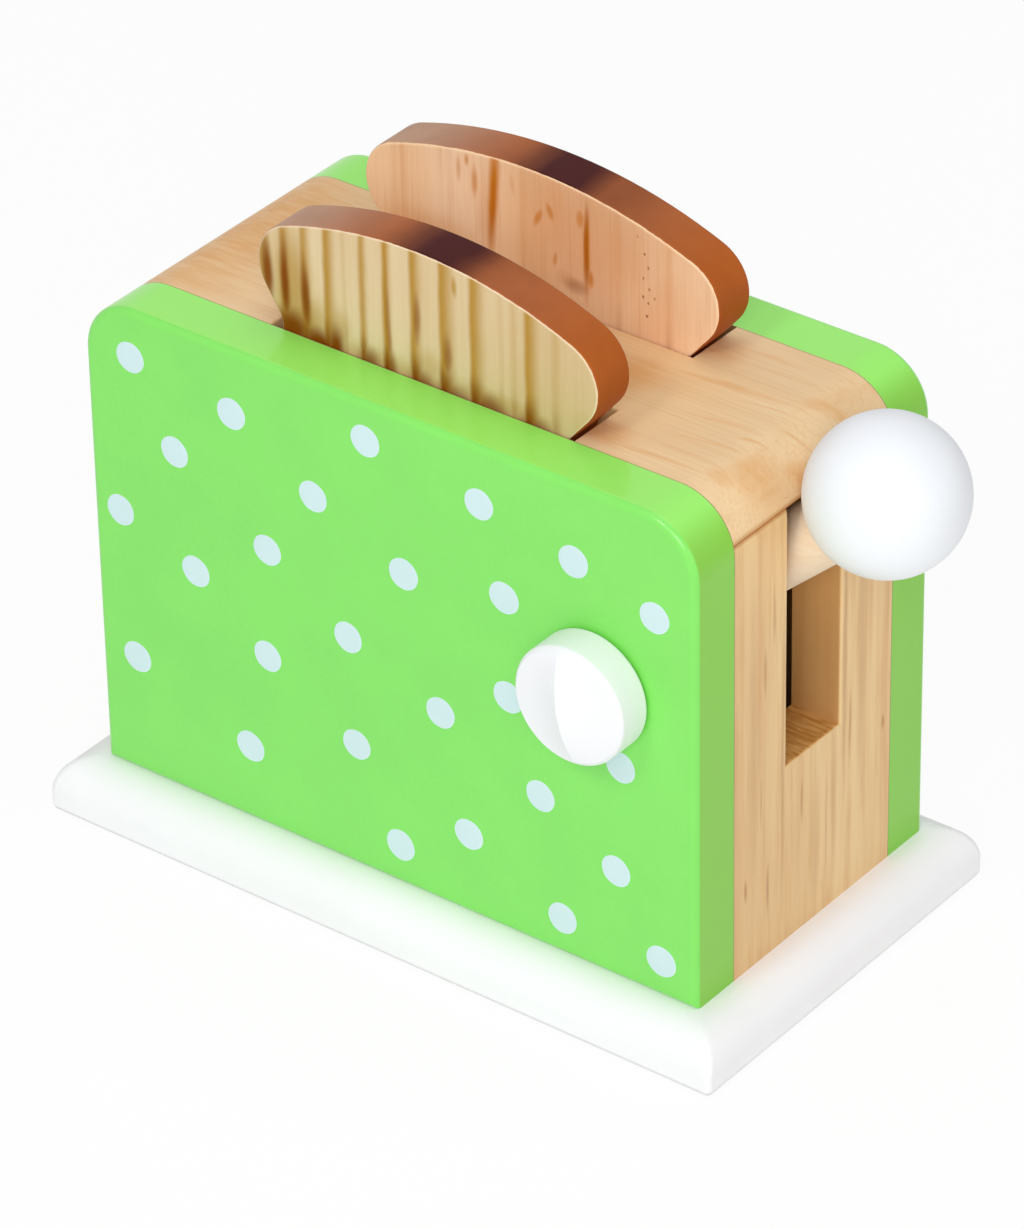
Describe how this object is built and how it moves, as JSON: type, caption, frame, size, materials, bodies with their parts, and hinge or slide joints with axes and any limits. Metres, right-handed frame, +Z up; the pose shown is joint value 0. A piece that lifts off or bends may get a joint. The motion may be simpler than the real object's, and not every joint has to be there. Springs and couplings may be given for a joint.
{
  "type": "wooden toy toaster",
  "caption": "Wooden toy toaster with painted side panels, a rocking pop-up lever with a ball end, lift-out slices of toast and a turning knob on a round-edged base.",
  "frame": {"origin": "centre of the base board's flat underside", "axes": "+X along the body towards the lever's ball, -Y towards the panel with the knob, +Z up"},
  "size_m": [0.2302, 0.1178, 0.1817],
  "materials": {
    "white_base": "white satin paint",
    "green_front": "green satin paint with pale blue dots",
    "green_back": "green satin paint with pale blue dots",
    "top_pine": "clear satin lacquer",
    "end_pine": "clear satin lacquer",
    "lever_wood": "sanded and lacquered",
    "white_ball": "white satin paint",
    "white_knob": "white satin paint",
    "front_toast_wood": "clear lacquer, rim painted crust brown",
    "back_toast_wood": "clear lacquer, rim painted crust brown",
    "dowel_wood": "plain sanded",
    "lift_plywood": "plain sanded",
    "washer": "plain",
    "screw_steel": "zinc plated"
  },
  "bodies": {
    "body": {"base_board": "white_base", "front_panel": "green_front", "back_panel": "green_back", "top_block": "top_pine", "lever_end_board": "end_pine", "plain_end_board": "end_pine", "pivot_pin": "dowel_wood", "pivot_spacer_front": "dowel_wood", "pivot_spacer_back": "dowel_wood", "guide_post_inner": "dowel_wood", "guide_post_outer": "dowel_wood", "base_screws": "screw_steel", "front_panel_dowels": "dowel_wood", "back_panel_dowels": "dowel_wood", "top_block_dowels": "dowel_wood"},
    "lever": {"lever_arm": "lever_wood", "lever_ball": "white_ball", "lift_bar": "dowel_wood"},
    "lift": {"lift_board": "lift_plywood"},
    "front_slice": {"front_toast": "front_toast_wood"},
    "back_slice": {"back_toast": "back_toast_wood"},
    "dial": {"knob": "white_knob", "knob_axle": "dowel_wood", "knob_washer": "washer", "knob_retainer": "dowel_wood"}
  },
  "joints": [
    {"name": "lever_rock", "type": "hinge", "parent": "body", "child": "lever", "pos_m": [0.05025, 0, 0.08757], "axis": [0, 1, 0], "range_deg": [0, 60]},
    {"name": "lift_slide", "type": "slide", "parent": "body", "child": "lift", "axis": [0, 0, 1], "range_m": [0, 0.0314]},
    {"name": "front_slice_out", "type": "slide", "parent": "lift", "child": "front_slice", "axis": [0, 0, 1], "range_m": [0, 0.08]},
    {"name": "back_slice_out", "type": "slide", "parent": "lift", "child": "back_slice", "axis": [0, 0, 1], "range_m": [0, 0.08]},
    {"name": "knob_turn", "type": "hinge", "parent": "body", "child": "dial", "pos_m": [0.0614, -0.0465, 0.095], "axis": [0, 1, 0], "continuous": true}
  ],
  "couplings": [
    {"joint": "lift_slide", "follows": "lever_rock", "m_per_rad": 0.02989}
  ]
}
